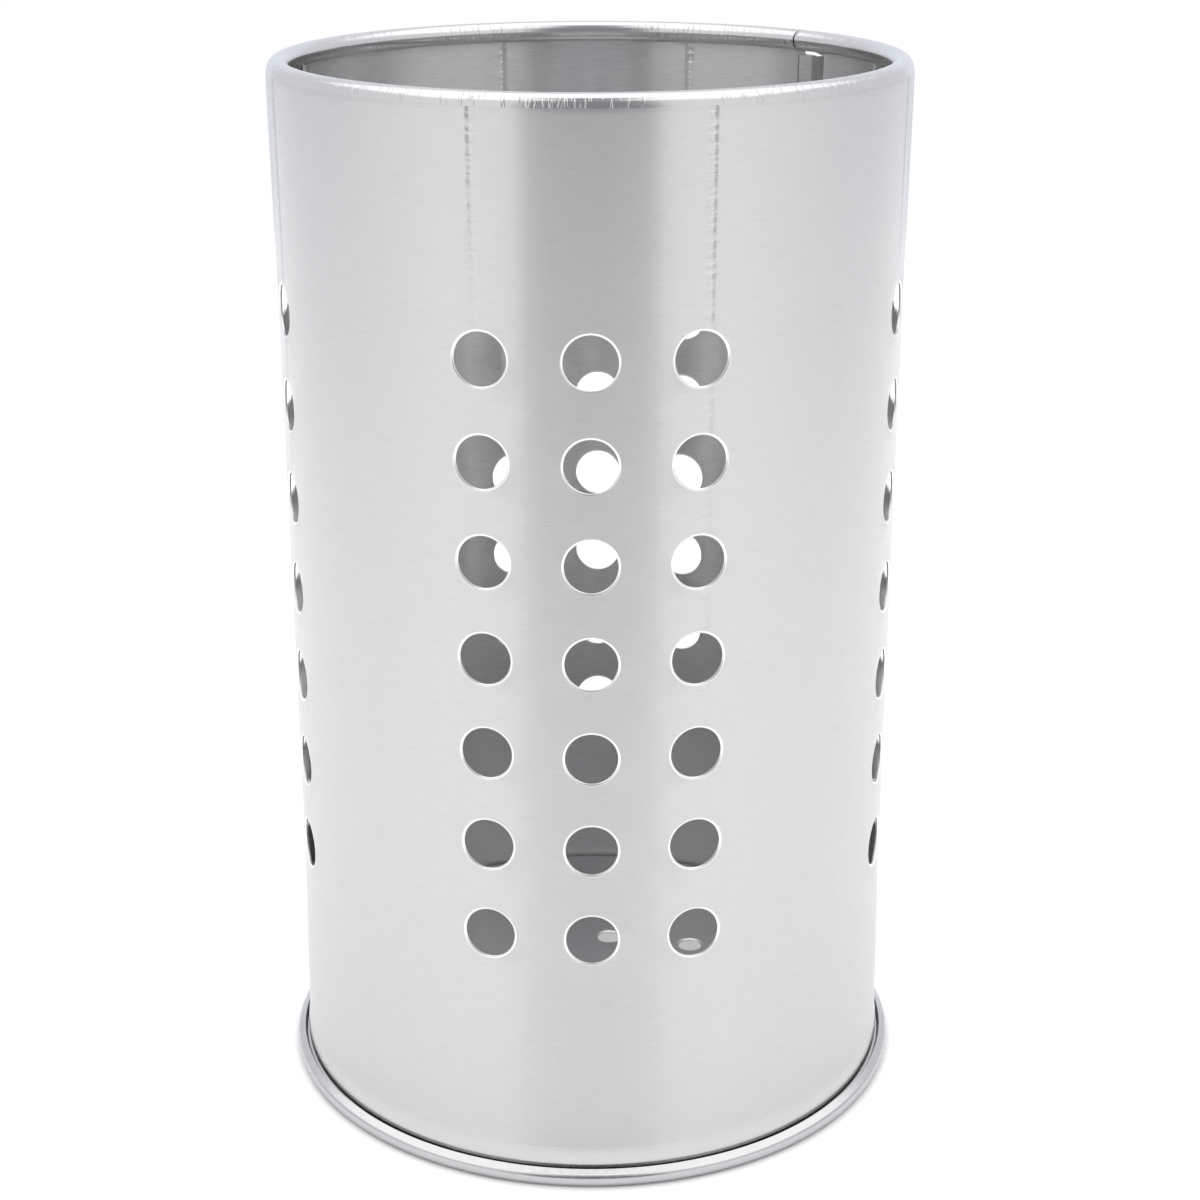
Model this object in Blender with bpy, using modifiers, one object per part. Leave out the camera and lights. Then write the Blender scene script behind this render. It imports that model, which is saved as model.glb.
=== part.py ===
import math

import bmesh
import bpy
from mathutils import Matrix, Vector

# Cutlery holder: a rolled, perforated steel wall with a curled rim and a folded seam,
# held in the hem of a pressed base pan. Metres, +Z up, origin at the centre of the foot.
# Bearings are angles from the front (-Y) towards +X.

# Wall sheet, rolled into a tube
HEIGHT = 0.180
WALL_RADIUS = 0.0525
WALL_SHEET = 0.0004
WALL_SEGMENTS = 64

# Rim, rolled inwards and flush with the wall's outer face
CURL_DIAMETER = 0.0036
CURL_SWEEP = math.radians(300)
CURL_STEPS = 10

# Punched holes, in groups of columns round the wall
HOLE_DIAMETER = 0.00855
HOLE_SIDES = 16
FIRST_ROW_HEIGHT = 0.0451
ROW_PITCH = 0.01595
PLAIN_TOP_BAND = 0.036
COLUMNS = 3
COLUMN_SPACING = 0.01695
GROUPS = 4
GROUP_DRIFT = 0.0007

# Lock seam, folded inside the wall between two groups of holes
SEAM_SHIFT = 0.0030  # from the middle of the plain band, towards the front
SEAM_WIDTH = 0.0018  # between the middles of its two folds
SEAM_JOGGLE = 0.0012
FOLD_GAP = 0.0002
FOLD_STEPS = 4
SEAM_END_CLEARANCE = 0.0010
JOINT_REACH = 0.0013  # from the seam's middle to the ends of the foot and the curl
TONGUE_GAP = 0.0003
TONGUE_CHAMFER = 0.0010

# Foot of the wall, turned out and then down inside the hem
FOOT_BEND_RADIUS = 0.0010
FOOT_REACH = 0.0021
FOOT_STEPS = 2
FOOT_LIP = 0.0008  # depth of the downturned edge below the flange
FOOT_LIP_RADIUS = 0.0004

# Base pan, pressed up inside the wall and hemmed round its foot
PAN_SHEET = 0.0005
PAN_FIT = 0.0003
PANEL_HEIGHT = 0.0093
PANEL_CORNER_RADIUS = 0.0015
PANEL_CORNER_STEPS = 2
PAN_HEEL_RADIUS = 0.0005
HEM_FLOOR_CLEARANCE = 0.0004  # under the foot's lip
HEM_END_CLEARANCE = 0.0003
HEM_EDGE_CLEARANCE = 0.0013  # from the wall's outer face to the hem's edge
HEM_LOWER_BEND = 0.0006  # inside the bend, as the upper one
HEM_UPPER_BEND = 0.0001
HEM_STEPS = 2
HEM_SLOPE = math.radians(12)
PAN_SEGMENTS = 64

# Drain holes in the pan's floor panel
DRAIN_DIAMETER = 0.0046
DRAIN_SIDES = 12
DRAIN_PITCH = 0.016
DRAINS_PER_SIDE = 3
DRAIN_TURN = math.radians(12)

# Modelling aids
CUT_OVERRUN = 0.002
WELD = 0.000001
SHARP_ANGLE = math.radians(50)

# Places worked out from the sizes above
wall_line = WALL_RADIUS - WALL_SHEET / 2
wall_inside = WALL_RADIUS - WALL_SHEET
foot_line_height = PAN_SHEET + HEM_FLOOR_CLEARANCE + FOOT_LIP
foot_radius = WALL_RADIUS + FOOT_REACH
hem_radius = foot_radius + HEM_END_CLEARANCE + PAN_SHEET
hem_shoulder = foot_line_height + WALL_SHEET / 2 + PAN_FIT + PAN_SHEET
curl_line_radius = (CURL_DIAMETER - WALL_SHEET) / 2
curl_height = HEIGHT - CURL_DIAMETER / 2
group_step = math.tau / GROUPS + GROUP_DRIFT / WALL_RADIUS
column_step = COLUMN_SPACING / WALL_RADIUS
plain_band_bearing = (group_step + math.tau - (GROUPS - 2) * group_step) / 2
seam_bearing = plain_band_bearing - SEAM_SHIFT / WALL_RADIUS
seam_low = PANEL_HEIGHT + SEAM_END_CLEARANCE
seam_high = curl_height - curl_line_radius - SEAM_END_CLEARANCE
fold_step = WALL_SHEET + FOLD_GAP


def point_at(bearing, radius, height):
    return Vector((radius * math.sin(bearing), -radius * math.cos(bearing), height))


def clear_scene():
    for item in list(bpy.data.objects):
        bpy.data.objects.remove(item, do_unlink=True)


def new_collection(name):
    collection = bpy.data.collections.new(name)
    bpy.context.scene.collection.children.link(collection)
    return collection


def steel(name, color, roughness):
    material = bpy.data.materials.new(name)
    material.use_nodes = True
    shader = material.node_tree.nodes["Principled BSDF"]
    shader.inputs["Base Color"].default_value = color
    shader.inputs["Metallic"].default_value = 1
    shader.inputs["Roughness"].default_value = roughness
    return material


def object_from(mesh, name, collection):
    data = bpy.data.meshes.new(name)
    mesh.to_mesh(data)
    mesh.free()
    item = bpy.data.objects.new(name, data)
    collection.objects.link(item)
    return item


def add_solidify(item, thickness):
    solidify = item.modifiers.new("sheet", "SOLIDIFY")
    solidify.thickness = thickness
    solidify.offset = 0
    solidify.use_even_offset = True
    solidify.use_quality_normals = True


def add_cut(item, cutter):
    cutter.hide_render = True
    cutter.display_type = "WIRE"
    cut = item.modifiers.new(cutter.name, "BOOLEAN")
    cut.operation = "DIFFERENCE"
    cut.object = cutter


def arc(center, radius, start, end, steps):
    """Points (x, y) round a centre, both ends included."""
    turns = [start + (end - start) * step / steps for step in range(steps + 1)]
    return [(center[0] + radius * math.cos(turn), center[1] + radius * math.sin(turn)) for turn in turns]


def foot_profile():
    """Radius and height of the sheet's middle from the foot's edge up to the seam."""
    lip_line = foot_radius - WALL_SHEET / 2
    lip_center = (lip_line - FOOT_LIP_RADIUS, foot_line_height - FOOT_LIP_RADIUS)
    bend_center = (wall_line + FOOT_BEND_RADIUS, foot_line_height + FOOT_BEND_RADIUS)
    lip = arc(lip_center, FOOT_LIP_RADIUS, 0, math.pi / 2, 1)
    bend = arc(bend_center, FOOT_BEND_RADIUS, 1.5 * math.pi, math.pi, FOOT_STEPS)
    return [(lip_line, foot_line_height - FOOT_LIP)] + lip + bend + [(wall_line, seam_low)]


def curl_profile():
    """Radius and height of the sheet's middle from the seam's top end round the curl."""
    curl_center = (wall_line - curl_line_radius, curl_height)
    return [(wall_line, seam_high)] + arc(curl_center, curl_line_radius, 0, CURL_SWEEP, CURL_STEPS)


def seam_hooks():
    """Paths of the two hooked edges: distance along the wall from the seam's middle, and radius."""
    half = SEAM_WIDTH / 2
    outer = wall_line
    back = outer - fold_step
    front = back - fold_step
    inner = front - fold_step
    outer_hook = [(JOINT_REACH, outer)]
    outer_hook += arc((-half, back), fold_step, math.pi / 2, 1.5 * math.pi, FOLD_STEPS)
    outer_hook.append((half, front))
    joggle_end = -half - fold_step - WALL_SHEET / 2 - FOLD_GAP - WALL_SHEET / 2
    inner_hook = [(joggle_end - SEAM_JOGGLE, outer), (joggle_end, inner)]
    inner_hook += arc((half, front), fold_step, -math.pi / 2, math.pi / 2, FOLD_STEPS)
    inner_hook.append((-half, back))
    return outer_hook, inner_hook


def add_chain(mesh, points):
    verts = [mesh.verts.new(point) for point in points]
    edges = [mesh.edges.new(pair) for pair in zip(verts, verts[1:])]
    return verts + edges


def turn_profile(mesh, profile, bearing, sweep, steps):
    """Turn a profile about the vertical axis and return the points of its far end."""
    chain = add_chain(mesh, [point_at(bearing, *point) for point in profile])
    turned = bmesh.ops.spin(mesh, geom=chain, axis=(0, 0, 1), cent=(0, 0, 0), angle=sweep, steps=steps)
    return [part for part in turned["geom_last"] if isinstance(part, bmesh.types.BMVert)]


def raise_path(mesh, points, lift):
    """Raise a path at the seam's foot into a strip of the sheet."""
    chain = add_chain(mesh, points)
    edges = [part for part in chain if isinstance(part, bmesh.types.BMEdge)]
    raised = bmesh.ops.extrude_edge_only(mesh, edges=edges)["geom"]
    top = [part for part in raised if isinstance(part, bmesh.types.BMVert)]
    bmesh.ops.translate(mesh, verts=top, vec=(0, 0, lift))


def wall_sheet():
    """The open sheet: foot, tube and curl, with its two edges hooked together.

    Past the joggle of the inner edge the foot and the curl carry on as chamfered tongues,
    which close the gap above and below the seam and end near the outer sheet's own end.
    """
    outer_hook, inner_hook = seam_hooks()
    start = seam_bearing + inner_hook[0][0] / wall_line
    end = seam_bearing + outer_hook[0][0] / wall_line
    mesh = bmesh.new()
    turn_profile(mesh, foot_profile() + curl_profile(), end, start + math.tau - end, WALL_SEGMENTS)
    tongue = end - TONGUE_GAP / wall_line - start
    foot_tongue = turn_profile(mesh, foot_profile(), start, tongue, 1)
    max(foot_tongue, key=lambda vert: vert.co.z).co.z -= TONGUE_CHAMFER
    curl_tongue = turn_profile(mesh, curl_profile(), start, tongue, 1)
    min(curl_tongue, key=lambda vert: vert.co.z).co.z += TONGUE_CHAMFER
    for hook in (outer_hook, inner_hook):
        path = [point_at(seam_bearing + along / wall_line, reach, seam_low) for along, reach in hook]
        raise_path(mesh, path, seam_high - seam_low)
    bmesh.ops.remove_doubles(mesh, verts=mesh.verts, dist=WELD)
    bmesh.ops.recalc_face_normals(mesh, faces=mesh.faces)
    return mesh


def hole_cutters(name, places, diameter, sides, depth, collection):
    """One mesh of plain cylinders, each centred on a place and along its direction."""
    mesh = bmesh.new()
    for place, direction in places:
        turn = direction.to_track_quat("Z", "X").to_matrix().to_4x4()
        bmesh.ops.create_cone(
            mesh, cap_ends=True, segments=sides, radius1=diameter / 2, radius2=diameter / 2,
            depth=depth, matrix=Matrix.Translation(place) @ turn)
    return object_from(mesh, name, collection)


def wall_hole_places():
    top_limit = HEIGHT - PLAIN_TOP_BAND
    rows = 1 + int((top_limit - FIRST_ROW_HEIGHT) / ROW_PITCH)
    places = []
    for group in range(GROUPS):
        for column in range(COLUMNS):
            bearing = (1 - group) * group_step + (column - (COLUMNS - 1) / 2) * column_step
            for row in range(rows):
                height = FIRST_ROW_HEIGHT + row * ROW_PITCH
                places.append((point_at(bearing, wall_line, height), point_at(bearing, 1, 0)))
    return places


def drain_places():
    middle = (DRAINS_PER_SIDE - 1) / 2
    turn = Matrix.Rotation(-DRAIN_TURN, 3, "Z")
    places = []
    for row in range(DRAINS_PER_SIDE):
        for column in range(DRAINS_PER_SIDE):
            offset = Vector((column - middle, row - middle, 0)) * DRAIN_PITCH
            height = Vector((0, 0, PANEL_HEIGHT - PAN_SHEET / 2))
            places.append((turn @ offset + height, Vector((0, 0, 1))))
    return places


def body_wall(parts, cutters):
    wall = object_from(wall_sheet(), "body_wall", parts)
    add_solidify(wall, WALL_SHEET)
    depth = WALL_SHEET + 2 * CUT_OVERRUN
    add_cut(wall, hole_cutters("wall_holes", wall_hole_places(), HOLE_DIAMETER, HOLE_SIDES, depth, cutters))
    wall.data.materials.append(steel("wall steel", (0.62, 0.63, 0.64, 1), 0.32))
    wall.data.shade_smooth()
    wall.data.set_sharp_from_angle(angle=SHARP_ANGLE)


def pan_profile():
    """Radius and height of the pan sheet's middle from the panel's centre to the hem's edge."""
    half = PAN_SHEET / 2
    skirt = wall_inside - PAN_FIT - half
    panel = PANEL_HEIGHT - half
    corner_center = (skirt - PANEL_CORNER_RADIUS, panel - PANEL_CORNER_RADIUS)
    heel_center = (skirt + PAN_HEEL_RADIUS, half + PAN_HEEL_RADIUS)
    side = hem_radius - half
    lower_bend = HEM_LOWER_BEND + half
    upper_bend = HEM_UPPER_BEND + half
    lower_center = (side - lower_bend, half + lower_bend)
    upper_center = (side - upper_bend, hem_shoulder - half - upper_bend)
    profile = [(0, panel)]
    profile += arc(corner_center, PANEL_CORNER_RADIUS, math.pi / 2, 0, PANEL_CORNER_STEPS)
    profile += arc(heel_center, PAN_HEEL_RADIUS, math.pi, 1.5 * math.pi, 1)
    profile += arc(lower_center, lower_bend, -math.pi / 2, 0, HEM_STEPS)
    profile += arc(upper_center, upper_bend, 0, math.pi / 2 - HEM_SLOPE, HEM_STEPS)
    shoulder_radius, shoulder_height = profile[-1]
    edge = WALL_RADIUS + HEM_EDGE_CLEARANCE
    profile.append((edge, shoulder_height + (shoulder_radius - edge) * math.tan(HEM_SLOPE)))
    return profile


def base_pan(parts, cutters):
    mesh = bmesh.new()
    verts = [mesh.verts.new((radius, 0, height)) for radius, height in pan_profile()]
    for pair in zip(verts, verts[1:]):
        mesh.edges.new(pair)
    pan = object_from(mesh, "base_pan", parts)
    turning = pan.modifiers.new("turning", "SCREW")
    turning.steps = PAN_SEGMENTS
    turning.render_steps = PAN_SEGMENTS
    turning.use_merge_vertices = True
    turning.merge_threshold = WELD
    add_solidify(pan, PAN_SHEET)
    depth = PAN_SHEET + 2 * CUT_OVERRUN
    add_cut(pan, hole_cutters("drain_holes", drain_places(), DRAIN_DIAMETER, DRAIN_SIDES, depth, cutters))
    pan.data.materials.append(steel("pan steel", (0.58, 0.59, 0.60, 1), 0.36))


def build():
    clear_scene()
    parts = new_collection("cutlery_holder")
    cutters = new_collection("cutters")
    body_wall(parts, cutters)
    base_pan(parts, cutters)


build()
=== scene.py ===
import math

import bmesh
import bpy
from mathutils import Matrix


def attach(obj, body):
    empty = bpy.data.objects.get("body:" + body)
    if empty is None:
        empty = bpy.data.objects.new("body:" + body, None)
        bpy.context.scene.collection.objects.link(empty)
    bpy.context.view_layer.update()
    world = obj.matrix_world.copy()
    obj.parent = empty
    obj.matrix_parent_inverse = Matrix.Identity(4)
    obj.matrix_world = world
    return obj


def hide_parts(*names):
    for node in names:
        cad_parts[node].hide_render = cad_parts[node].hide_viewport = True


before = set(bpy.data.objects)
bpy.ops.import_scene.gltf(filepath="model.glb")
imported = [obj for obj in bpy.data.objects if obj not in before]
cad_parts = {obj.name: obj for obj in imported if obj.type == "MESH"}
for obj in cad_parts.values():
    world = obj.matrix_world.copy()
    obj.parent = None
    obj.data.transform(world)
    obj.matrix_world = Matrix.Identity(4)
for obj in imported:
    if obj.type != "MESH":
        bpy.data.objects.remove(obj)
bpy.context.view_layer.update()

# Cutlery holder: one rolled sheet for the wall, one pressed sheet for the base. Metres, front at -Y.

weld = 0.000002  # points closer than this are one point
shortcut = 5  # welds, within which a point counts as being on a line
roundedFrom = 60  # degrees from which an edge is rounded
sharpFrom = 40  # degrees from which an edge stays sharp in the shading
punchedFinish = 1  # where each piece's list of finishes has that of its punched edges


def startPiece(name, addPrimitive, **settings):
    bpy.ops.object.select_all(action="DESELECT")
    addPrimitive(**settings)
    piece = bpy.context.object
    piece.name = name
    piece.data.name = name
    bpy.ops.object.transform_apply(location=True, rotation=True, scale=True)
    return piece


def pick(piece, kind, test):  # selects only what passes the test, in edit mode
    bpy.ops.mesh.select_mode(type=kind)
    bpy.ops.mesh.select_all(action="DESELECT")
    mesh = bmesh.from_edit_mesh(piece.data)
    for part in {"VERT": mesh.verts, "EDGE": mesh.edges, "FACE": mesh.faces}[kind]:
        if test(part):
            part.select_set(True)
    bmesh.update_edit_mesh(piece.data)


def pickRim(piece, test):  # open edges whose two ends pass the test
    pick(piece, "EDGE", lambda edge: len(edge.link_faces) < 2 and all(test(vert.co) for vert in edge.verts))


def chosen(piece):
    return [vert for vert in bmesh.from_edit_mesh(piece.data).verts if vert.select]


def near(one, other):
    return abs(one - other) < weld * shortcut


def pull(shift, steps=1):  # extrudes the selected edges in equal steps
    part = [distance / steps for distance in shift]
    for step in range(steps):
        bpy.ops.mesh.extrude_edges_move(TRANSFORM_OT_translate={"value": part})


def fold(center, axis, degrees, steps):  # extrudes the selected edges round an axis
    bpy.ops.mesh.spin(steps=steps, angle=-math.radians(degrees), center=center, axis=axis)


def applyModifier(piece, kind, **settings):
    modifier = piece.modifiers.new(kind.lower(), kind)
    for key, value in settings.items():
        setattr(modifier, key, value)
    bpy.context.view_layer.objects.active = piece
    bpy.ops.object.modifier_apply(modifier=modifier.name)


def copyAlong(piece, count, shift):
    applyModifier(
        piece, "ARRAY", count=count, use_relative_offset=False, use_constant_offset=True,
        constant_offset_displace=shift, use_merge_vertices=True, merge_threshold=weld)


def thicken(piece, thickness):
    applyModifier(
        piece, "SOLIDIFY", thickness=thickness, offset=0, use_even_offset=True, use_quality_normals=True)


def roundEdges(piece, width):
    applyModifier(
        piece, "BEVEL", width=width, segments=2, limit_method="ANGLE", angle_limit=math.radians(roundedFrom))


def finishFaces(piece, slot, test):  # gives one of the piece's finishes to faces that pass the test
    bpy.ops.object.mode_set(mode="EDIT")
    pick(piece, "FACE", lambda face: test(face, face.calc_center_median()))
    piece.active_material_index = slot
    bpy.ops.object.material_slot_assign()
    bpy.ops.object.mode_set(mode="OBJECT")


def smooth(piece):
    bpy.ops.object.select_all(action="DESELECT")
    piece.select_set(True)
    bpy.context.view_layer.objects.active = piece
    bpy.ops.object.shade_smooth_by_angle(angle=math.radians(sharpFrom))
    applyModifier(piece, "WEIGHTED_NORMAL", keep_sharp=True)


def punchedCell(name, width, height, punch, finishes):  # one hole in its share of a sheet, across X and Z
    cuts = punch["cuts"]
    cell = startPiece(
        name, bpy.ops.mesh.primitive_grid_add, x_subdivisions=cuts, y_subdivisions=cuts,
        size=1, rotation=(math.pi / 2, 0, 0))
    for finish in finishes:
        cell.data.materials.append(finish)
    bpy.ops.object.mode_set(mode="EDIT")
    bpy.ops.transform.resize(value=(width, 1, height), center_override=(0, 0, 0))
    pick(cell, "VERT", lambda vert: not vert.is_boundary)
    bpy.ops.mesh.delete(type="VERT")
    rolledEdge = punch["radius"] + punch["rolledWidth"]
    ring = rolledEdge
    bpy.ops.mesh.primitive_circle_add(vertices=4 * cuts, radius=ring, rotation=(math.pi / 2, 0, 0))
    bpy.ops.mesh.select_all(action="SELECT")
    bpy.ops.mesh.bridge_edge_loops(number_cuts=punch["ringsAround"], interpolation="LINEAR")
    pickRim(cell, lambda place: math.hypot(place.x, place.z) < ring + weld)
    depth = 0
    for across, down in punch["rolledShares"]:  # rings from the flat sheet down the rolled edge
        nextRing = punch["radius"] + punch["rolledWidth"] * (1 - across)
        nextDepth = punch["rolledDepth"] * down
        pull((0, 0, 0))
        bpy.ops.transform.resize(value=(nextRing / ring, 1, nextRing / ring), center_override=(0, 0, 0))
        bpy.ops.transform.translate(value=(0, nextDepth - depth, 0))
        ring, depth = nextRing, nextDepth
    bpy.ops.object.mode_set(mode="OBJECT")
    finishFaces(cell, punchedFinish, lambda face, middle: math.hypot(middle.x, middle.z) < rolledEdge)
    return cell


# Wall: modelled flat, as its blank, and rolled up last. Along the sheet is X, inwards is Y, up is Z.

blank = {
    "height": 0.180,
    "radius": 0.0525,
    "thickness": 0.0004,
    "edgeRounding": 0.00007,
    "stripCuts": 18,
    "plainSteps": 6,
    "footSteps": 4,
    "rightSteps": 6,
    "leftSteps": 10,
}
holes = {
    "radius": 0.004275,
    "rolledWidth": 0.00032,  # the punch draws the hole's edge in
    "rolledDepth": 0.00016,
    "rolledShares": ((0.15, 0.04), (0.4, 0.25), (1, 1)),  # of the width and of the depth
    "cuts": 10,
    "ringsAround": 1,
    "firstRow": 0.0451,
    "rowPitch": 0.01595,
    "columnPitch": 0.01695,
    "rows": 7,
    "columns": 3,
    "groups": 4,
    "groupDrift": 0.0007,  # each group is this much more than a quarter turn from the next
}
curl = {
    "diameter": 0.0036,
    "leadRadius": 0.0050,  # the sheet leans in gently before it curls
    "lead": 18,
    "leadSteps": 4,
    "sweep": 300,
    "steps": 18,
    "finishFrom": 0.4,  # of the lead's depth, where the rollers' finish begins
}
seam = {
    "shift": 0.0030,  # from the middle of the plain band, towards the front
    "width": 0.0018,
    "joggle": 0.0012,
    "foldGap": 0.0002,
    "low": 0.0103,
    "endClearance": 0.0010,
    "jointReach": 0.0013,  # from the seam's middle to the ends of the foot and the curl
    "tongueGap": 0.0003,
    "tongueSteps": 4,
    "chamfer": 0.0010,
    "foldSteps": 8,
    "hookSteps": 3,
    "backSteps": 4,
}
foot = {
    "lineHeight": 0.0017,
    "bendRadius": 0.0006,
    "sweep": 84,
    "steps": 8,
    "reach": 0.0004,
}
flare = {  # how much wider the rolled wall is at each plain row, towards the foot and towards the rim
    "foot": (0.00008, 0.00020, 0.00029, 0.00035, 0.00039, 0.00042, 0.00045, 0.00058, 0.00082, 0.00112),
    "rim": (0.00005, 0.00009, 0.00013, 0.00018, 0.00022, 0.00024),
}

lineRadius = blank["radius"] - blank["thickness"] / 2
groupStep = (math.tau / holes["groups"] + holes["groupDrift"] / blank["radius"]) * lineRadius
cellWidth = holes["columnPitch"] / blank["radius"] * lineRadius
cellHeight = holes["rowPitch"]
roundTheWall = math.tau * lineRadius
lowestHoleEdge = holes["firstRow"] - cellHeight / 2
highestHoleEdge = lowestHoleEdge + holes["rows"] * cellHeight
bendTop = foot["lineHeight"] + foot["bendRadius"]
wallFinish = {"outside": 0, "curl": 2, "inside": 3}
foldStep = blank["thickness"] + seam["foldGap"]
curlLine = (curl["diameter"] - blank["thickness"]) / 2
curlHeight = blank["height"] - curl["diameter"] / 2
lead = math.radians(curl["lead"])
leadHeight = curlHeight - (curl["leadRadius"] - curlLine) * math.sin(lead)
leadDepth = curl["leadRadius"] * (1 - math.cos(lead))
curlDepth = leadDepth + curlLine * math.cos(lead)
seamHigh = curlHeight - curlLine - seam["endClearance"]
seamMiddle = (roundTheWall - groupStep) / 2 - seam["shift"] * lineRadius / blank["radius"]
foldEdge = seamMiddle - seam["width"] / 2
joggleEnd = foldEdge - foldStep - blank["thickness"] - seam["foldGap"]
sheetRight = joggleEnd - seam["joggle"]
sheetLeft = seamMiddle + seam["jointReach"] - roundTheWall


def flatBlank(finishes):
    sheet = punchedCell("wall_sheet", cellWidth, cellHeight, holes, finishes)
    copyAlong(sheet, holes["columns"], (cellWidth, 0, 0))
    copyAlong(sheet, holes["rows"], (0, 0, cellHeight))
    copyAlong(sheet, holes["groups"], (groupStep, 0, 0))
    firstColumn = -2 * groupStep - cellWidth
    groupLeft = firstColumn - cellWidth / 2
    groupWidth = holes["columns"] * cellWidth
    bpy.ops.object.mode_set(mode="EDIT")
    bpy.ops.mesh.select_all(action="SELECT")
    bpy.ops.transform.translate(value=(firstColumn, 0, holes["firstRow"]))
    for group in range(holes["groups"] - 1):  # plain strips between the groups
        left = groupLeft + groupWidth + group * groupStep
        right = groupLeft + (group + 1) * groupStep
        pickRim(sheet, lambda place: near(place.x, left) or near(place.x, right))
        bpy.ops.mesh.bridge_edge_loops(number_cuts=blank["stripCuts"], interpolation="LINEAR")
    lastRight = groupLeft + groupWidth + (holes["groups"] - 1) * groupStep
    pickRim(sheet, lambda place: near(place.x, lastRight))
    pull((sheetRight - lastRight, 0, 0), blank["rightSteps"])
    pickRim(sheet, lambda place: near(place.x, groupLeft))
    pull((sheetLeft - groupLeft, 0, 0), blank["leftSteps"])
    pickRim(sheet, lambda place: near(place.z, highestHoleEdge))
    pull((0, 0, seamHigh - highestHoleEdge), blank["plainSteps"])
    pull((0, 0, leadHeight - seamHigh))
    fold((0, curl["leadRadius"], leadHeight), (1, 0, 0), -curl["lead"], curl["leadSteps"])
    fold((0, curlDepth, curlHeight), (1, 0, 0), curl["lead"] - curl["sweep"], curl["steps"])
    pickRim(sheet, lambda place: near(place.z, lowestHoleEdge))
    pull((0, 0, seam["low"] - lowestHoleEdge), blank["plainSteps"])
    pull((0, 0, bendTop - seam["low"]), blank["footSteps"])
    fold((0, -foot["bendRadius"], bendTop), (1, 0, 0), -foot["sweep"], foot["steps"])
    pull((0, -foot["reach"], 0))
    bpy.ops.object.mode_set(mode="OBJECT")
    return sheet


def hookSeam(sheet):  # the two upright edges fold into each other, inside the wall
    bpy.ops.object.mode_set(mode="EDIT")
    inSeam = lambda place: seam["low"] - weld < place.z < seamHigh + weld
    nearFold = foldEdge - roundTheWall
    pickRim(sheet, lambda place: near(place.x, sheetLeft) and inSeam(place))
    pull((nearFold - sheetLeft, 0, 0), seam["hookSteps"])
    fold((nearFold, foldStep, 0), (0, 0, 1), -180, seam["foldSteps"])
    pull((seam["width"], 0, 0), seam["hookSteps"])
    pickRim(sheet, lambda place: near(place.x, sheetRight) and inSeam(place))
    pull((seam["joggle"], 3 * foldStep, 0))
    farFold = seamMiddle + seam["width"] / 2
    pull((farFold - joggleEnd, 0, 0), seam["backSteps"])
    fold((farFold, 2 * foldStep, 0), (0, 0, 1), -180, seam["foldSteps"])
    pull((-seam["width"], 0, 0), seam["hookSteps"])
    tongue = (sheetLeft + roundTheWall - seam["tongueGap"] - sheetRight) / seam["tongueSteps"]
    for side, level in ((-1, seam["low"]), (1, seamHigh)):  # the foot's tongue, then the curl's
        edge = sheetRight
        for step in range(seam["tongueSteps"]):
            pickRim(sheet, lambda place: near(place.x, edge) and (place.z - level) * side > -weld)
            pull((tongue, 0, 0))
            edge += tongue
            pick(sheet, "VERT", lambda vert: near(vert.co.x, edge) and near(vert.co.z, level))
            shift = side * seam["chamfer"] / seam["tongueSteps"]
            bpy.ops.transform.translate(value=(0, 0, shift))
            level += shift
    bpy.ops.mesh.select_all(action="SELECT")
    bpy.ops.mesh.remove_doubles(threshold=weld)
    bpy.ops.mesh.normals_make_consistent(inside=False)
    bpy.ops.object.mode_set(mode="OBJECT")


def mapBlank(sheet):  # the flat sheet's own run as a UV map, in metres
    layer = sheet.data.uv_layers.new(name="blank")
    for loop in sheet.data.loops:
        place = sheet.data.vertices[loop.vertex_index].co
        run = place.z
        if place.z > seamHigh + weld and place.y > leadDepth + weld:
            turn = math.atan2(place.z - curlHeight, curlDepth - place.y)
            run = curlHeight + curlLine * (turn % math.tau)
        layer.data[loop.index].uv = (place.x, run)


def rollUp(sheet):
    places = [vert.co.x for vert in sheet.data.vertices]
    angle = (max(places) - min(places)) / lineRadius
    applyModifier(sheet, "SIMPLE_DEFORM", deform_method="BEND", deform_axis="Z", angle=angle)
    bpy.ops.object.mode_set(mode="EDIT")
    bpy.ops.mesh.select_all(action="SELECT")
    bpy.ops.transform.translate(value=(0, -lineRadius, 0))
    bpy.ops.object.mode_set(mode="OBJECT")


def widen(sheet, rows, growths, side):  # from each row on, the wall is wider than before
    bpy.ops.object.mode_set(mode="EDIT")
    radius = blank["radius"]
    for row, growth in zip(rows, growths):
        pick(sheet, "VERT", lambda vert: (vert.co.z - row) * side > -weld)
        factor = (blank["radius"] + growth) / radius
        bpy.ops.transform.resize(value=(factor, factor, 1), center_override=(0, 0, 0))
        radius = blank["radius"] + growth
    bpy.ops.object.mode_set(mode="OBJECT")


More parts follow.
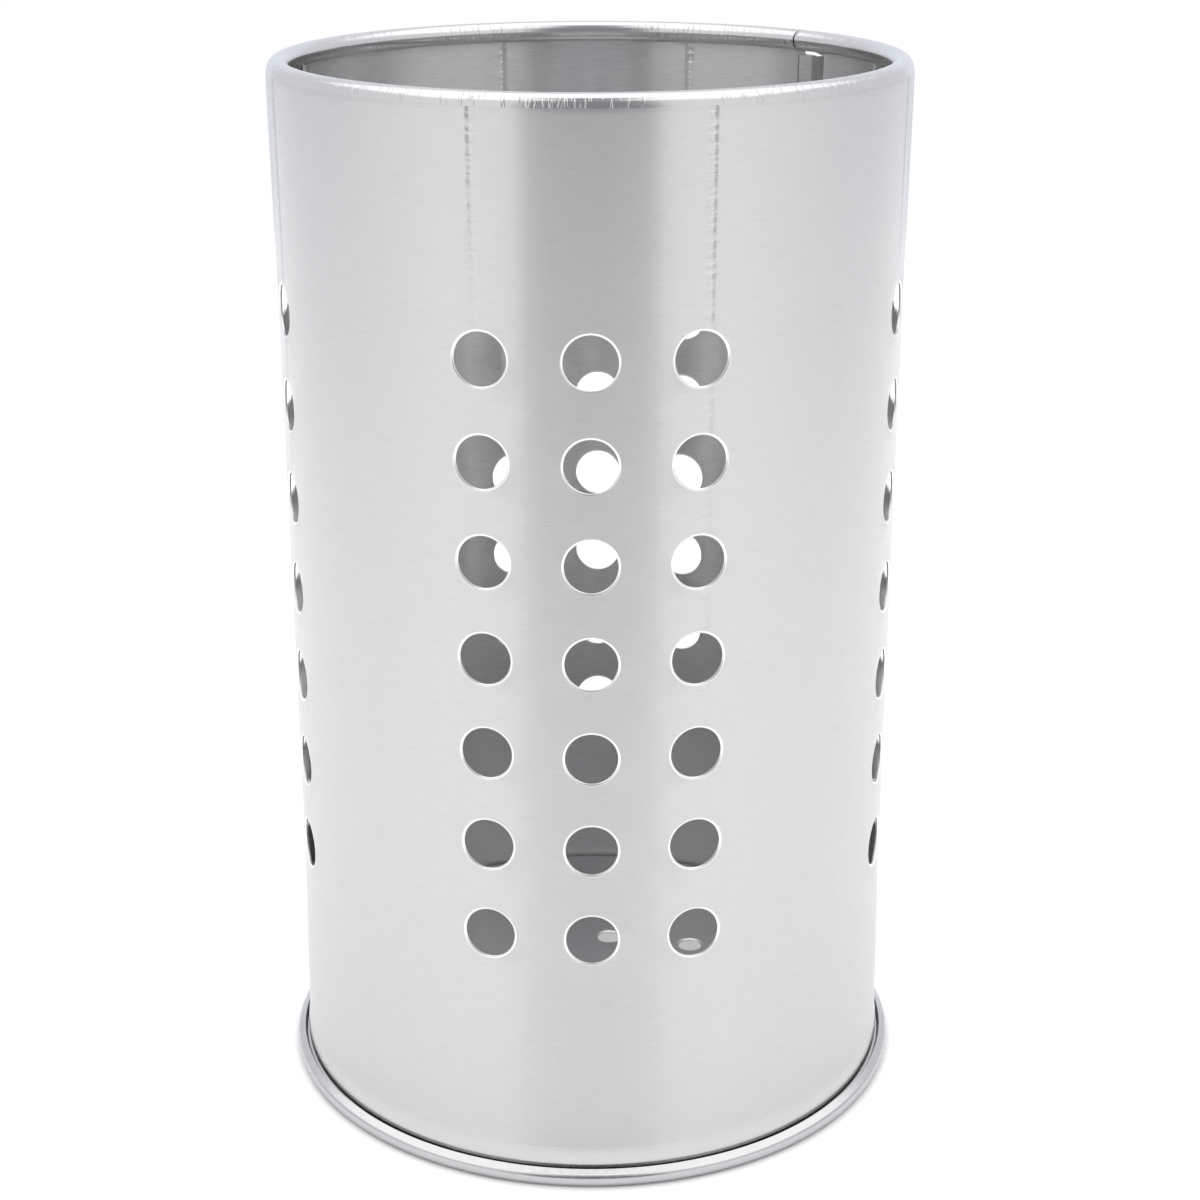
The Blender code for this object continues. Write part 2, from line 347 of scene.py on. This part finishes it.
def makeWall():
    outside = brushedSteel("brushed stainless sheet", brushed["outside"])
    # the inside's finish is painted lighter, as light filling the hollow
    inside = brushedSteel("brushed stainless inside painted lighter", brushed["inside"])
    holeEdge = burnishAndHighlightSteel("burnished stainless hole edge")
    sheet = flatBlank([outside, holeEdge, curledSteel(), inside])
    hookSeam(sheet)
    mapBlank(sheet)
    rolled = leadDepth * curl["finishFrom"]
    finishFaces(sheet, wallFinish["curl"], lambda face, middle: middle.z > seamHigh and middle.y > rolled)
    thicken(sheet, blank["thickness"])
    inwards = 0.5  # the normal's share that makes a face an inner one
    finishFaces(sheet, wallFinish["inside"], lambda face, middle: (
        face.material_index == wallFinish["outside"] and face.normal.y > inwards))
    roundEdges(sheet, blank["edgeRounding"])
    rollUp(sheet)
    steps = range(1, blank["plainSteps"] + 1)
    footRow = (lowestHoleEdge - seam["low"]) / blank["plainSteps"]
    footRows = [lowestHoleEdge - step * footRow for step in steps]
    lowSteps = blank["footSteps"]
    footRows += [seam["low"] + (bendTop - seam["low"]) * part / lowSteps for part in range(1, lowSteps + 1)]
    rimRow = (seamHigh - highestHoleEdge) / blank["plainSteps"]
    widen(sheet, footRows, flare["foot"], -1)
    widen(sheet, [highestHoleEdge + step * rimRow for step in steps], flare["rim"], 1)
    smooth(sheet)
    print("wall:", len(sheet.data.polygons), "faces")
    return sheet


# Base pan: its punched floor panel first, then ring after ring out to the hem's cut edge.

pan = {
    "thickness": 0.0005,
    "fit": 0.0003,
    "panelHeight": 0.0093,
    "cornerRadius": 0.0015,
    "cornerSteps": 6,
    "heelRadius": 0.0005,
    "heelSteps": 3,
    "hemRadius": 0.0554,
    "hemShoulder": 0.00248,
    "hemLowerBend": 0.0006,  # inside the bend
    "hemUpperBend": 0.0004,
    "hemSteps": 6,
    "hemSlope": 31,
    "hemEdgeClearance": 0.0014,
    "edgeRounding": 0.00010,
    "skirtRow": 5,  # the row of the wall's flare that the skirt fits into
}
panFinish = {"hem": 2, "hemTop": 3}
drains = {
    "radius": 0.0023,
    "rolledWidth": 0.00030,
    "rolledDepth": 0.00020,
    "rolledShares": ((0.15, 0.04), (0.4, 0.25), (1, 1)),
    "cuts": 14,
    "ringsAround": 2,
    "pitch": 0.016,
    "perSide": 3,
    "turn": 12,
}


def arc(center, radius, start, end, steps):  # radius and height of points round a centre
    turns = [math.radians(start + (end - start) * step / steps) for step in range(steps + 1)]
    return [(center[0] + radius * math.cos(turn), center[1] + radius * math.sin(turn)) for turn in turns]


def panProfile():
    half = pan["thickness"] / 2
    skirt = blank["radius"] + flare["foot"][pan["skirtRow"]] - blank["thickness"] - pan["fit"] - half
    panel = pan["panelHeight"] - half
    side = pan["hemRadius"] - half
    lowerBend = pan["hemLowerBend"] + half
    upperBend = pan["hemUpperBend"] + half
    corner = (skirt - pan["cornerRadius"], panel - pan["cornerRadius"])
    heel = (skirt + pan["heelRadius"], half + pan["heelRadius"])
    lower = (side - lowerBend, half + lowerBend)
    upper = (side - upperBend, pan["hemShoulder"] - half - upperBend)
    points = arc(corner, pan["cornerRadius"], 90, 0, pan["cornerSteps"])
    points += arc(heel, pan["heelRadius"], 180, 270, pan["heelSteps"])
    points += arc(lower, lowerBend, -90, 0, pan["hemSteps"])
    points += arc(upper, upperBend, 0, 90 - pan["hemSlope"], pan["hemSteps"])
    shoulderRadius, shoulderHeight = points[-1]
    edge = blank["radius"] + pan["hemEdgeClearance"]
    rise = (shoulderRadius - edge) * math.tan(math.radians(pan["hemSlope"]))
    points.append((edge, shoulderHeight + rise))
    return points


def makePan():
    finishes = [
        cloudySteel("pressed stainless sheet", pressed), burnishAndHighlightSteel("burnished stainless drain edge"),
        cloudySteel("rolled stainless hem", hemSideShaded), cloudySteel("rolled stainless hem top", hemTopLit)]
    sheet = punchedCell("pan_sheet", drains["pitch"], drains["pitch"], drains, finishes)
    copyAlong(sheet, drains["perSide"], (drains["pitch"], 0, 0))
    copyAlong(sheet, drains["perSide"], (0, 0, drains["pitch"]))
    profile = panProfile()
    hemTop = blank["radius"] + pan["hemEdgeClearance"] - weld
    radius, height = profile[0]
    half = drains["perSide"] * drains["pitch"] / 2
    middle = drains["pitch"] / 2 - half
    sheet.location = (middle, 0, middle)
    bpy.ops.object.transform_apply(location=True)
    sheet.rotation_euler = (-math.pi / 2, 0, 0)
    sheet.location = (0, 0, height)
    bpy.ops.object.transform_apply(location=True, rotation=True)
    bpy.ops.object.mode_set(mode="EDIT")
    pickRim(sheet, lambda place: near(max(abs(place.x), abs(place.y)), half))
    pull((0, 0, 0))
    bpy.ops.transform.tosphere(value=1, center_override=(0, 0, height))
    ring = sum(vert.co.xy.length for vert in chosen(sheet)) / len(chosen(sheet))
    bpy.ops.transform.resize(value=(radius / ring, radius / ring, 1), center_override=(0, 0, 0))
    for nextRadius, nextHeight in profile[1:]:
        growth = nextRadius / radius
        pull((0, 0, 0))
        bpy.ops.transform.resize(value=(growth, growth, 1), center_override=(0, 0, 0))
        bpy.ops.transform.translate(value=(0, 0, nextHeight - height))
        radius, height = nextRadius, nextHeight
    bpy.ops.mesh.select_all(action="SELECT")
    bpy.ops.mesh.normals_make_consistent(inside=False)
    bpy.ops.object.mode_set(mode="OBJECT")
    sheet.rotation_euler = (0, 0, -math.radians(drains["turn"]))
    bpy.ops.object.transform_apply(rotation=True)
    hemBand = pan["hemShoulder"] - pan["thickness"]
    # the hem gets a darker colour, as painted shade on its side
    finishFaces(sheet, panFinish["hem"], lambda face, middle: middle.xy.length > blank["radius"])
    # the hem's top gets a lighter colour, as painted light on it
    finishFaces(sheet, panFinish["hemTop"], lambda face, middle: (
        middle.z > hemBand and middle.xy.length > hemTop))
    thicken(sheet, pan["thickness"])
    roundEdges(sheet, pan["edgeRounding"])
    smooth(sheet)
    print("pan:", len(sheet.data.polygons), "faces")
    return sheet


# Finishes. Noise runs from about 0.3 to 0.7, so that is what a map range takes as its low and high.

noiseLow = 0.3
noiseHigh = 0.7


def linear(hexColor):  # an sRGB hex value as the linear colour that nodes take
    parts = [int(hexColor[place:place + 2], 16) / 255 for place in (1, 3, 5)]
    return [part / 12.92 if part <= 0.04045 else ((part + 0.055) / 1.055) ** 2.4 for part in parts] + [1]


def addNode(tree, kind, inputs=None, **settings):
    node = tree.nodes.new(kind)
    for key, value in settings.items():
        setattr(node, key, value)
    for key, value in (inputs or {}).items():
        if isinstance(value, bpy.types.NodeSocket):
            tree.links.new(value, node.inputs[key])
        else:
            node.inputs[key].default_value = value
    return node


# Stainless sheet, brushed along its length before it is rolled, so the grain runs round the wall.
# The grain blurs what the wall mirrors up and down but hardly sideways.
brushed = {
    "outside": {"color": "#cfcfcf", "scratchColor": "#c9c9c9", "roughness": 0.33, "anisotropy": 0.95},
    # The inside's colour is lighter than the outside's, as painted light filling the hollow.
    "inside": {"color": "#e4e4e4", "scratchColor": "#d2d2d2", "roughness": 0.30, "anisotropy": 0.9},
    "rubbed": (0.0035, 0.0075),  # below the first height the hem's roller has rubbed the wall smooth
    "rubbedShare": 0.42,  # of the roughness is left there
    "grainWidth": 0.00018,  # real grain is a tenth of this; drawn as coarse as it needs to show
    "grainLength": 0.004,
    "grainRoughness": 0.02,
    "grainDepth": 0.0000007,
    "grainDetail": {"Scale": 1, "Detail": 3, "Roughness": 0.6},
    "grainTurn": 0.25,  # a quarter turn sets the blur across the grain
    "scratchNoise": (0.45, 0.75),  # where the grain's noise turns from the sheet's colour to a scratch's
    "creases": (-0.01725, 0.01815),  # where rolling the sheet bent it at the ends of a hole group
    "creaseWidth": 0.0022,
    "creaseDepth": 0.00019,
    "creaseWander": 0.0003,  # how far the line wanders, and how soon
    "creaseWave": 0.0012,
    "creaseBreak": {"From Min": 0.35, "From Max": 0.6, "To Min": 0.6, "To Max": 1},  # its depth comes and goes
    "creaseTop": 0.178,
    "creaseEnd": (0.130, 0.020),
}


def brushedSteel(name, finish):
    material = bpy.data.materials.new(name)
    material.use_nodes = True
    tree = material.node_tree
    shader = tree.nodes["Principled BSDF"]
    run = addNode(tree, "ShaderNodeUVMap", uv_map="blank")
    stretched = addNode(tree, "ShaderNodeMapping", {
        "Vector": run.outputs["UV"], "Scale": (1 / brushed["grainLength"], 1 / brushed["grainWidth"], 1)})
    grain = addNode(tree, "ShaderNodeTexNoise", {
        "Vector": stretched.outputs["Vector"], **brushed["grainDetail"]})
    rough = addNode(tree, "ShaderNodeMapRange", {
        "Value": grain.outputs["Fac"], "From Min": noiseLow, "From Max": noiseHigh,
        "To Min": finish["roughness"] - brushed["grainRoughness"],
        "To Max": finish["roughness"] + brushed["grainRoughness"]})
    tone = addNode(tree, "ShaderNodeMapRange", {
        "Value": grain.outputs["Fac"], "From Min": brushed["scratchNoise"][0],
        "From Max": brushed["scratchNoise"][1]}, interpolation_type="SMOOTHSTEP")
    paint = addNode(tree, "ShaderNodeMix", {"Factor": tone.outputs["Result"]}, data_type="RGBA")
    paint.inputs["A"].default_value = linear(finish["color"])
    paint.inputs["B"].default_value = linear(finish["scratchColor"])
    relief = addNode(tree, "ShaderNodeMath", {
        0: grain.outputs["Fac"], 1: brushed["grainDepth"]}, operation="MULTIPLY")
    parts = addNode(tree, "ShaderNodeSeparateXYZ", {0: run.outputs["UV"]})
    rubbed = addNode(tree, "ShaderNodeMapRange", {
        "Value": parts.outputs["Y"], "From Min": brushed["rubbed"][0], "From Max": brushed["rubbed"][1],
        "To Min": brushed["rubbedShare"], "To Max": 1}, interpolation_type="SMOOTHSTEP")
    rough = addNode(tree, "ShaderNodeMath", {
        0: rough.outputs["Result"], 1: rubbed.outputs["Result"]}, operation="MULTIPLY")
    wave = addNode(tree, "ShaderNodeTexNoise", {
        "W": parts.outputs["Y"], "Scale": 1 / brushed["creaseWave"], "Detail": 2}, noise_dimensions="1D")
    wander = addNode(tree, "ShaderNodeMath", {
        0: wave.outputs["Fac"], 1: brushed["creaseWander"], 2: parts.outputs["X"]}, operation="MULTIPLY_ADD")
    broken = addNode(tree, "ShaderNodeMapRange", {
        "Value": wave.outputs["Fac"], **brushed["creaseBreak"]})
    inGroup = addNode(tree, "ShaderNodeMath", {
        0: wander.outputs[0], 1: groupStep / 2, 2: -groupStep / 2}, operation="WRAP")
    for line, end in zip(brushed["creases"], brushed["creaseEnd"]):
        away = addNode(tree, "ShaderNodeMath", {0: inGroup.outputs[0], 1: line}, operation="SUBTRACT")
        away = addNode(tree, "ShaderNodeMath", {0: away.outputs[0]}, operation="ABSOLUTE")
        depth = addNode(tree, "ShaderNodeMapRange", {
            "Value": away.outputs[0], "From Min": 0, "From Max": brushed["creaseWidth"] / 2,
            "To Min": brushed["creaseDepth"], "To Max": 0}, interpolation_type="SMOOTHSTEP")
        fade = addNode(tree, "ShaderNodeMapRange", {
            "Value": parts.outputs["Y"], "From Min": end, "From Max": brushed["creaseTop"]})
        faded = addNode(tree, "ShaderNodeMath", {
            0: depth.outputs["Result"], 1: fade.outputs["Result"]}, operation="MULTIPLY")
        faded = addNode(tree, "ShaderNodeMath", {
            0: faded.outputs[0], 1: broken.outputs["Result"]}, operation="MULTIPLY")
        relief = addNode(tree, "ShaderNodeMath", {
            0: relief.outputs[0], 1: faded.outputs[0]}, operation="SUBTRACT")
    bump = addNode(tree, "ShaderNodeBump", {"Height": relief.outputs[0], "Distance": 1, "Strength": 1})
    tangent = addNode(tree, "ShaderNodeTangent", direction_type="UV_MAP", uv_map="blank")
    shader.inputs["Metallic"].default_value = 1
    shader.inputs["Anisotropic"].default_value = finish["anisotropy"]
    shader.inputs["Anisotropic Rotation"].default_value = brushed["grainTurn"]
    tree.links.new(paint.outputs["Result"], shader.inputs["Base Color"])
    tree.links.new(rough.outputs[0], shader.inputs["Roughness"])
    tree.links.new(bump.outputs["Normal"], shader.inputs["Normal"])
    tree.links.new(tangent.outputs["Tangent"], shader.inputs["Tangent"])
    return material


# Stainless sheet rubbed by the punch at the edges of the holes. It mirrors more sharply than the sheet around
# it. Its colour, lighter than the sheet's, is partly the burnish and partly a painted highlight on the rounded
# edge.
burnishAndHighlight = {
    "color": "#f2f2f2",
    "roughness": 0.34,
}


def burnishAndHighlightSteel(name):
    material = bpy.data.materials.new(name)
    material.use_nodes = True
    shader = material.node_tree.nodes["Principled BSDF"]
    shader.inputs["Base Color"].default_value = linear(burnishAndHighlight["color"])
    shader.inputs["Metallic"].default_value = 1
    shader.inputs["Roughness"].default_value = burnishAndHighlight["roughness"]
    return material


# Stainless sheet curled by rollers, which leaves short wrinkles across the curl where the metal gathers.
curled = {
    "color": "#d8d8d9",
    "roughness": 0.20,
    "wrinkleWidth": 0.0005,
    "wrinkleLength": 0.0030,
    "wrinkleDepth": 0.000035,
    "wrinkleNoise": {"From Min": 0.52, "From Max": 0.66},  # from flat to the top of a wrinkle
    "wrinkleRegion": 0.030,  # wrinkles come in stretches of about this length
    "regionNoise": {"From Min": 0.40, "From Max": 0.50},
}


def curledSteel():
    material = bpy.data.materials.new("roller curled stainless")
    material.use_nodes = True
    tree = material.node_tree
    shader = tree.nodes["Principled BSDF"]
    run = addNode(tree, "ShaderNodeUVMap", uv_map="blank")
    across = addNode(tree, "ShaderNodeMapping", {
        "Vector": run.outputs["UV"], "Scale": (1 / curled["wrinkleWidth"], 1 / curled["wrinkleLength"], 1)})
    wrinkle = addNode(tree, "ShaderNodeTexNoise", {"Vector": across.outputs["Vector"], "Scale": 1, "Detail": 1})
    ridge = addNode(tree, "ShaderNodeMapRange", {
        "Value": wrinkle.outputs["Fac"], **curled["wrinkleNoise"],
        "To Min": 0, "To Max": curled["wrinkleDepth"]}, interpolation_type="SMOOTHSTEP")
    along = addNode(tree, "ShaderNodeMapping", {
        "Vector": run.outputs["UV"], "Scale": (1 / curled["wrinkleRegion"], 0, 1)})
    region = addNode(tree, "ShaderNodeTexNoise", {"Vector": along.outputs["Vector"], "Scale": 1, "Detail": 1})
    gathered = addNode(tree, "ShaderNodeMapRange", {
        "Value": region.outputs["Fac"], **curled["regionNoise"]}, interpolation_type="SMOOTHSTEP")
    height = addNode(tree, "ShaderNodeMath", {
        0: ridge.outputs["Result"], 1: gathered.outputs["Result"]}, operation="MULTIPLY")
    bump = addNode(tree, "ShaderNodeBump", {"Height": height.outputs[0], "Distance": 1, "Strength": 1})
    shader.inputs["Base Color"].default_value = linear(curled["color"])
    shader.inputs["Metallic"].default_value = 1
    shader.inputs["Roughness"].default_value = curled["roughness"]
    tree.links.new(bump.outputs["Normal"], shader.inputs["Normal"])
    return material


# Stainless sheet as it leaves the mill, drawn in a press: an even satin with no grain.
pressed = {
    "color": "#cfd0d1",
    "roughness": 0.34,
    "cloudSize": 0.004,
    "cloudRoughness": 0.04,
}
# The pan's edge, closed over the wall's foot by a roller: smoother than the rest of the pan. Its colour is
# darker than the pan's as painted shade, for the side that mirrors the shaded floor at the foot.
hemSideShaded = {
    "color": "#c4c4c6",
    "roughness": 0.24,
    "cloudSize": 0.0015,
    "cloudRoughness": 0.05,
}


# The top of the hem, where the roller bore down: painted lighter than the hem's side, as light that falls on
# the top.
hemTopLit = {
    "color": "#cdcdce",
    "roughness": 0.24,
    "cloudSize": 0.0010,
    "cloudRoughness": 0.05,
}


def cloudySteel(name, finish):
    material = bpy.data.materials.new(name)
    material.use_nodes = True
    tree = material.node_tree
    shader = tree.nodes["Principled BSDF"]
    place = addNode(tree, "ShaderNodeTexCoord")
    cloud = addNode(tree, "ShaderNodeTexNoise", {
        "Vector": place.outputs["Object"], "Scale": 1 / finish["cloudSize"], "Detail": 4})
    rough = addNode(tree, "ShaderNodeMapRange", {
        "Value": cloud.outputs["Fac"], "From Min": noiseLow, "From Max": noiseHigh,
        "To Min": finish["roughness"] - finish["cloudRoughness"],
        "To Max": finish["roughness"] + finish["cloudRoughness"]})
    shader.inputs["Base Color"].default_value = linear(finish["color"])
    shader.inputs["Metallic"].default_value = 1
    tree.links.new(rough.outputs["Result"], shader.inputs["Roughness"])
    return material


# Studio: a soft box overhead, white screens left, right and behind, and a darker room in front, which a gap
# in the middle of the box carries on up to the zenith.

studio = {
    "boxSide": 1.3,  # the box's edges, for a box 1 above the object
    "boxFront": -0.85,
    "boxBack": 0.85,
    "gapSide": 0.22,  # the gap's edges, as the box's
    "gapBack": -0.30,
    "boxSoftness": 0.08,
    "boxColor": "#ffffff",
    "boxStrength": 1.5,
    "roomSide": -2.25,  # where the room meets a side screen, in screen distances
    "roomSoftness": 0.12,
    "roomColor": "#949498",
    "screenFrontColor": "#fdfdfd",
    "screenColor": "#eaeaee",
    "screenTurn": (-0.85, 0.3),  # the look's share towards the back, over which the one passes into the other
    "backdropColor": "#f2f8ff",
    "backdropTurn": (0.82, 0.88),
    "leastUp": 0.001,  # keeps the box's plane above the horizon
    "floorColor": "#fbfbfb",
    "floorFront": -0.60,
    "floorSize": 1.4,
    "floorGlow": 0.33,  # as the camera sees it
    "floorMirrored": 0.31,  # as the steel mirrors it
    "paintedShadowRadius": 0.0550,  # painted contact shadow: where the hem stands, the floor has no glow
    "paintedShadowWidth": 0.0022,
}


def makeWorld():
    world = bpy.data.worlds.new("soft box and screens")
    world.use_nodes = True
    bpy.context.scene.world = world
    tree = world.node_tree
    tree.nodes.clear()
    look = addNode(tree, "ShaderNodeTexCoord")
    parts = addNode(tree, "ShaderNodeSeparateXYZ", {0: look.outputs["Generated"]})
    across, along, up = parts.outputs["X"], parts.outputs["Y"], parts.outputs["Z"]
    aside = addNode(tree, "ShaderNodeMath", {0: across}, operation="ABSOLUTE")

    def between(value, low, high):  # 0 below, 1 above, soft in the middle
        step = addNode(tree, "ShaderNodeMapRange", {
            "Value": value, "From Min": low, "From Max": high}, interpolation_type="SMOOTHSTEP")
        return step.outputs["Result"]

    def both(one, other):
        return addNode(tree, "ShaderNodeMath", {0: one, 1: other}, operation="MULTIPLY").outputs[0]

    def cover(under, over, amount):
        layer = addNode(tree, "ShaderNodeMix", {"Factor": amount}, data_type="RGBA")
        for socket, color in (("A", under), ("B", over)):
            if isinstance(color, bpy.types.NodeSocket):
                tree.links.new(color, layer.inputs[socket])
            else:
                layer.inputs[socket].default_value = color
        return layer.outputs["Result"]

    screens = linear(studio["screenFrontColor"])
    screens = cover(screens, linear(studio["screenColor"]), between(along, *studio["screenTurn"]))
    screens = cover(screens, linear(studio["backdropColor"]), between(along, *studio["backdropTurn"]))
    sideRatio = addNode(tree, "ShaderNodeMath", {0: along, 1: aside.outputs[0]}, operation="DIVIDE")
    soft = studio["roomSoftness"]
    inRoom = between(sideRatio.outputs[0], studio["roomSide"] + soft, studio["roomSide"] - soft)
    surround = cover(screens, linear(studio["roomColor"]), inRoom)
    height = addNode(tree, "ShaderNodeMath", {0: up, 1: studio["leastUp"]}, operation="MAXIMUM")
    boxAlong = addNode(tree, "ShaderNodeMath", {0: along, 1: height.outputs[0]}, operation="DIVIDE")
    boxAcross = addNode(tree, "ShaderNodeMath", {0: aside.outputs[0], 1: height.outputs[0]}, operation="DIVIDE")
    edge = studio["boxSoftness"]
    inBox = both(
        between(boxAlong.outputs[0], studio["boxFront"] - edge, studio["boxFront"] + edge),
        between(boxAlong.outputs[0], studio["boxBack"] + edge, studio["boxBack"] - edge))
    inBox = both(inBox, between(boxAcross.outputs[0], studio["boxSide"] + edge, studio["boxSide"] - edge))
    boxLight = [part * studio["boxStrength"] for part in linear(studio["boxColor"])[:3]] + [1]
    inGap = both(
        between(boxAcross.outputs[0], studio["gapSide"] + edge, studio["gapSide"] - edge),
        between(boxAlong.outputs[0], studio["gapBack"] + edge, studio["gapBack"] - edge))
    lit = cover(cover(surround, boxLight, inBox), linear(studio["roomColor"]), both(inBox, inGap))
    path = addNode(tree, "ShaderNodeLightPath")
    final = cover(lit, linear("#ffffff"), path.outputs["Is Camera Ray"])
    light = addNode(tree, "ShaderNodeBackground", {"Color": final, "Strength": 1})
    addNode(tree, "ShaderNodeOutputWorld", {"Surface": light.outputs[0]})


def makeFloor():
    floor = startPiece("floor", bpy.ops.mesh.primitive_plane_add, size=1)
    bpy.ops.object.mode_set(mode="EDIT")
    bpy.ops.mesh.select_all(action="SELECT")
    bpy.ops.transform.resize(value=(studio["floorSize"], studio["floorSize"], 1), center_override=(0, 0, 0))
    bpy.ops.transform.translate(value=(0, studio["floorFront"] + studio["floorSize"] / 2, 0))
    bpy.ops.object.mode_set(mode="OBJECT")
    material = bpy.data.materials.new("white paper")
    material.use_nodes = True
    tree = material.node_tree
    shader = tree.nodes["Principled BSDF"]
    shader.inputs["Base Color"].default_value = linear(studio["floorColor"])
    shader.inputs["Roughness"].default_value = 1
    shader.inputs["Specular IOR Level"].default_value = 0
    path = addNode(tree, "ShaderNodeLightPath")
    seen = addNode(tree, "ShaderNodeMath", {
        0: path.outputs["Is Camera Ray"], 1: studio["floorGlow"]}, operation="MULTIPLY")
    mirrored = addNode(tree, "ShaderNodeMath", {
        0: path.outputs["Is Glossy Ray"], 1: studio["floorMirrored"]}, operation="MULTIPLY")
    glow = addNode(tree, "ShaderNodeMath", {0: seen.outputs[0], 1: mirrored.outputs[0]}, operation="ADD")
    # Painted contact shadow: the glow fades out in a ring round the hem's foot, both as the camera sees it and
    # as the steel mirrors it.
    place = addNode(tree, "ShaderNodeTexCoord")
    radius = addNode(tree, "ShaderNodeVectorMath", {0: place.outputs["Object"]}, operation="LENGTH")
    away = addNode(tree, "ShaderNodeMath", {
        0: radius.outputs["Value"], 1: studio["paintedShadowRadius"]}, operation="SUBTRACT")
    away = addNode(tree, "ShaderNodeMath", {0: away.outputs[0]}, operation="ABSOLUTE")
    clear = addNode(tree, "ShaderNodeMapRange", {
        "Value": away.outputs[0], "From Min": 0,
        "From Max": studio["paintedShadowWidth"]}, interpolation_type="SMOOTHSTEP")
    glow = addNode(tree, "ShaderNodeMath", {
        0: glow.outputs[0], 1: clear.outputs["Result"]}, operation="MULTIPLY")
    shader.inputs["Emission Color"].default_value = linear("#ffffff")
    tree.links.new(glow.outputs[0], shader.inputs["Emission Strength"])
    floor.data.materials.append(material)


view = {
    "place": (0, -0.3804, 0.2221),
    "tilt": 70.15,
    "roll": -0.13,
    "lens": 68.3,
    "shift": 0.0073,
    "nearest": 0.01,
}


def makeCamera():
    bpy.ops.object.camera_add(location=view["place"], rotation=(math.radians(view["tilt"]), 0, 0))
    camera = bpy.context.object
    camera.rotation_euler.rotate_axis("Z", math.radians(view["roll"]))
    camera.data.lens = view["lens"]
    camera.data.shift_x = view["shift"]
    camera.data.clip_start = view["nearest"]
    bpy.context.scene.camera = camera


def dress(piece, node):
    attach(piece, "root")
    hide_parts(node)


dress(makeWall(), "body_wall")
dress(makePan(), "base_pan")
makeWorld()
makeFloor()
makeCamera()
bpy.context.scene.view_settings.view_transform = "Standard"
print("studio: done")
